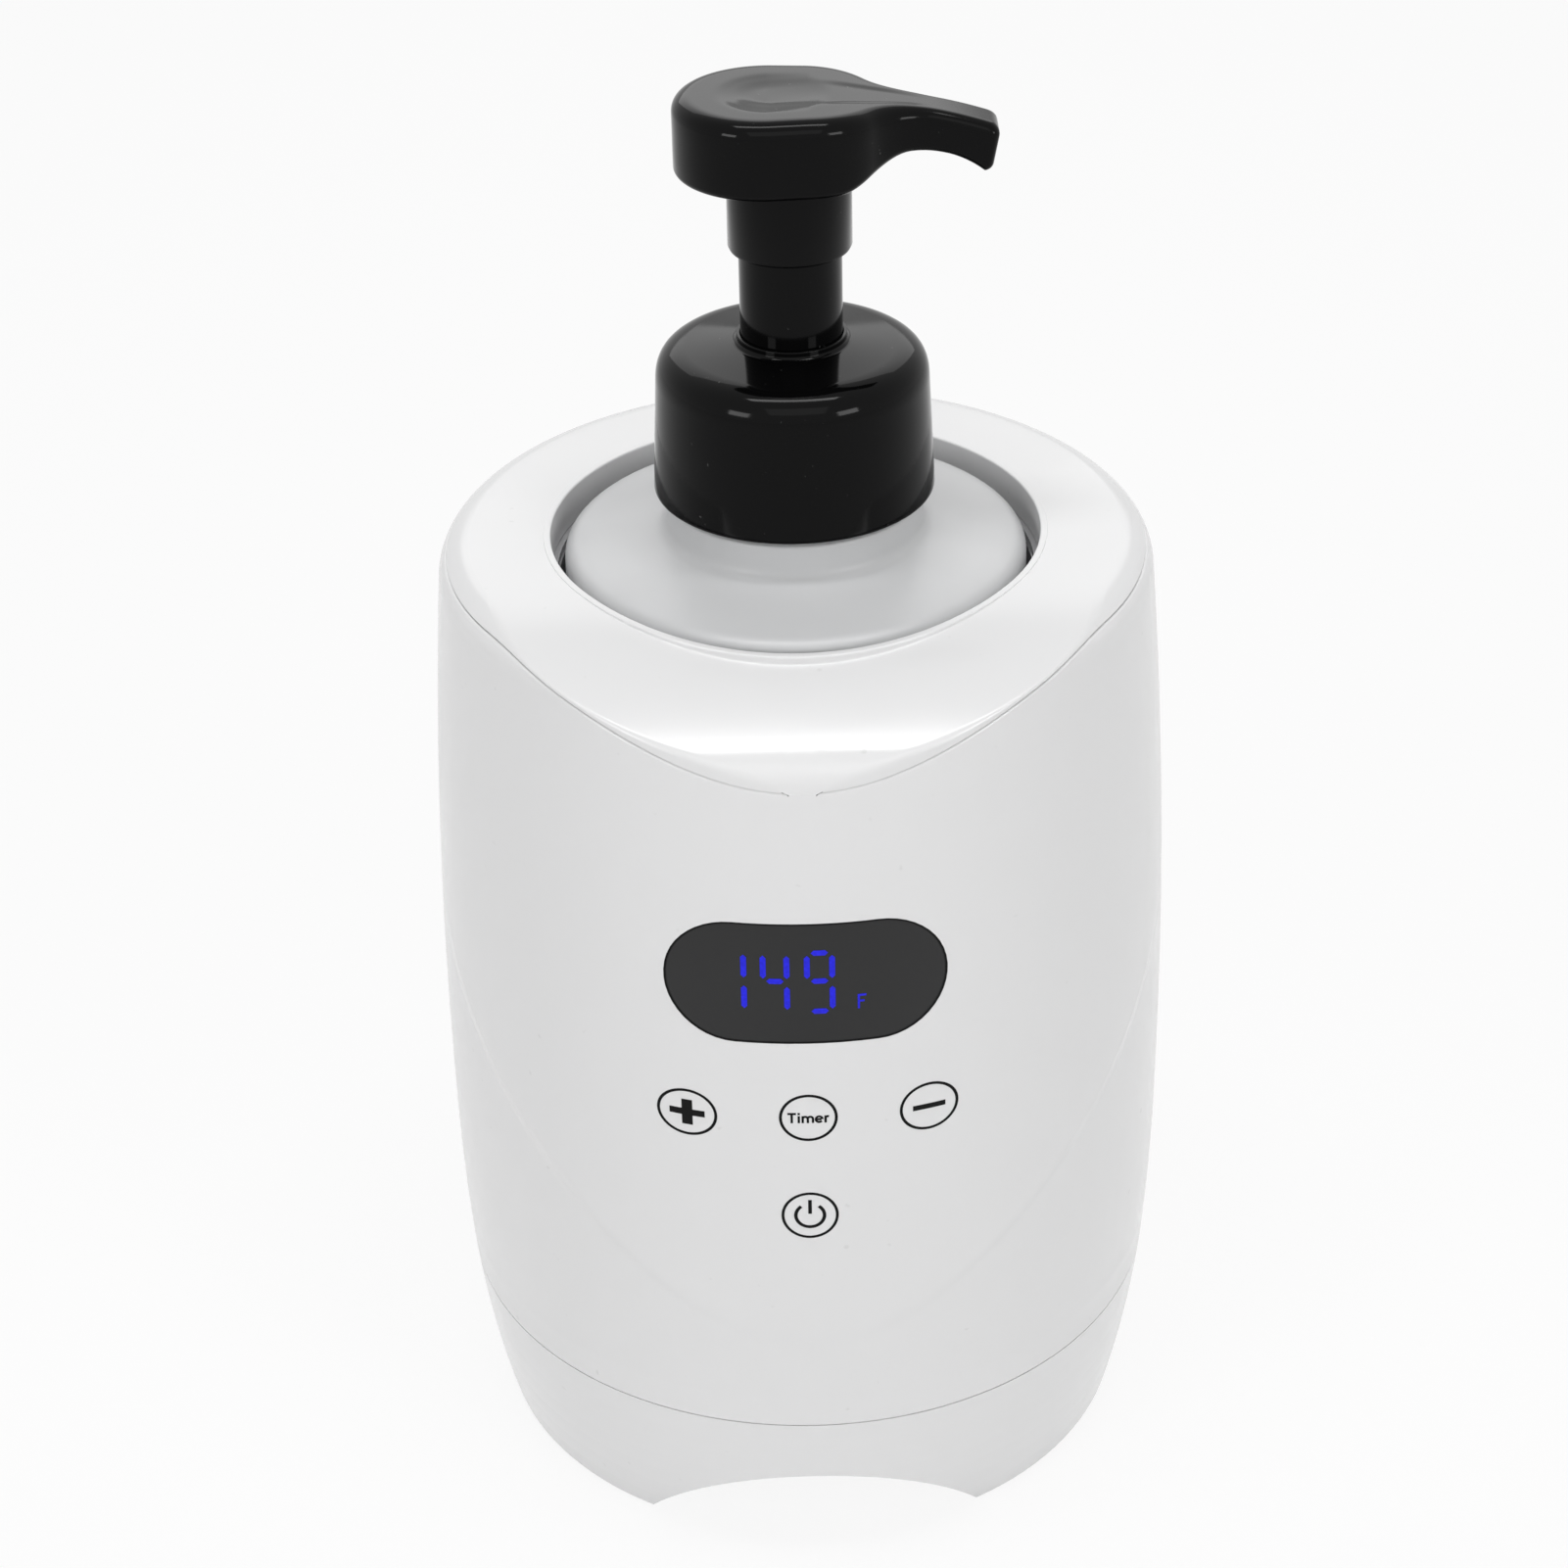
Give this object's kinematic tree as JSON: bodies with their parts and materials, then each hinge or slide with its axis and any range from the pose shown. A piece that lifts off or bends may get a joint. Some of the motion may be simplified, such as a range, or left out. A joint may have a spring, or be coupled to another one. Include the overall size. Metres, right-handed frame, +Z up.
{
  "type": "hot lather machine",
  "caption": "Round white countertop warmer with a display, holding a foam pump bottle that lifts out; black pump head presses down and swivels.",
  "frame": {"origin": "centre of the footprint, on the surface the feet stand on", "axes": "+Z up along the body's axis, -Y towards the display side, +X towards the nozzle"},
  "size_m": [0.1304, 0.1304, 0.2526],
  "materials": {
    "white_housing": "fine satin texture",
    "black_gloss": "moulded gloss",
    "milky_bottle": "milky, satin",
    "smoked_lens": "smoked gloss",
    "black_plastic": "moulded",
    "foot_rubber": "matte",
    "seal_rubber": "silicone, matte",
    "cup_aluminium": "drawn, satin",
    "screw_steel": "zinc plated",
    "spring_steel": "drawn wire and strip",
    "ball_steel": "polished",
    "heater_film": "orange polyimide film",
    "insulation_felt": "needled felt",
    "sensor_body": "ceramic-like, satin",
    "circuit_board": "solder mask, satin",
    "capacitor_sleeve": "printed-free sleeve",
    "relay_case": "moulded",
    "terminal_green": "moulded",
    "sensor_pads": "conductive foam",
    "pin_brass": "nickel-free, bright",
    "lead_black": "lead insulation",
    "lead_red": "lead insulation",
    "lead_grey": "lead insulation",
    "natural_plastic": "natural, translucent"
  },
  "bodies": {
    "casing": {"body_shell": "white_housing", "top_cover": "white_housing", "base": "white_housing", "rubber_feet": "foot_rubber", "base_screws": "screw_steel", "well_cup": "cup_aluminium", "well_seal": "seal_rubber", "flange_screws": "screw_steel", "heater_mat": "heater_film", "insulation_sleeve": "insulation_felt", "temperature_sensor": "sensor_body", "thermal_fuse": "sensor_body", "sensor_clip": "spring_steel", "power_board": "circuit_board", "transformer": "black_plastic", "capacitors": "capacitor_sleeve", "relay": "relay_case", "terminal_block": "terminal_green", "board_screws": "screw_steel", "control_board": "circuit_board", "control_screws": "screw_steel", "display_module": "black_plastic", "display_shroud": "black_plastic", "display_window": "smoked_lens", "key_pads": "sensor_pads", "mains_inlet": "black_plastic", "inlet_pins": "pin_brass", "inlet_leads": "lead_black", "heater_leads": "lead_red", "sensor_leads": "lead_grey", "control_cable": "lead_grey"},
    "bottle": {"bottle": "milky_bottle"},
    "pump_unit": {"pump_housing": "natural_plastic", "neck_gasket": "seal_rubber", "dip_tube": "natural_plastic"},
    "closure": {"closure": "black_gloss"},
    "pistons": {"air_piston": "natural_plastic", "liquid_piston": "natural_plastic", "return_spring": "spring_steel"},
    "head": {"pump_head": "black_gloss", "pump_stem": "black_gloss", "foam_mesh": "natural_plastic"},
    "ball": {"valve_ball": "ball_steel"}
  },
  "joints": [
    {"name": "bottle_lift", "type": "slide", "parent": "casing", "child": "bottle", "axis": [0, 0, 1], "range_m": [0, 0.16]},
    {"name": "closure_turn", "type": "hinge", "parent": "pump_unit", "child": "closure", "pos_m": [0, 0, 0.19], "axis": [0, 0, 1], "range_deg": [0, 540]},
    {"name": "closure_rise", "type": "slide", "parent": "bottle", "child": "pump_unit", "axis": [0, 0, 1], "range_m": [0, 0.009]},
    {"name": "pump_press", "type": "slide", "parent": "pump_unit", "child": "pistons", "axis": [0, 0, -1], "range_m": [0, 0.0135], "stiffness_N_per_m": 800, "springref_m": -0.012, "deforming": ["return_spring"]},
    {"name": "head_swivel", "type": "hinge", "parent": "pistons", "child": "head", "pos_m": [0, 0, 0.22], "axis": [0, 0, 1], "continuous": true},
    {"name": "ball_lift", "type": "slide", "parent": "pump_unit", "child": "ball", "axis": [0, 0, 1], "range_m": [0, 0.001]}
  ],
  "couplings": [
    {"joint": "closure_rise", "follows": "closure_turn", "m_per_rad": 0.00095493}
  ]
}
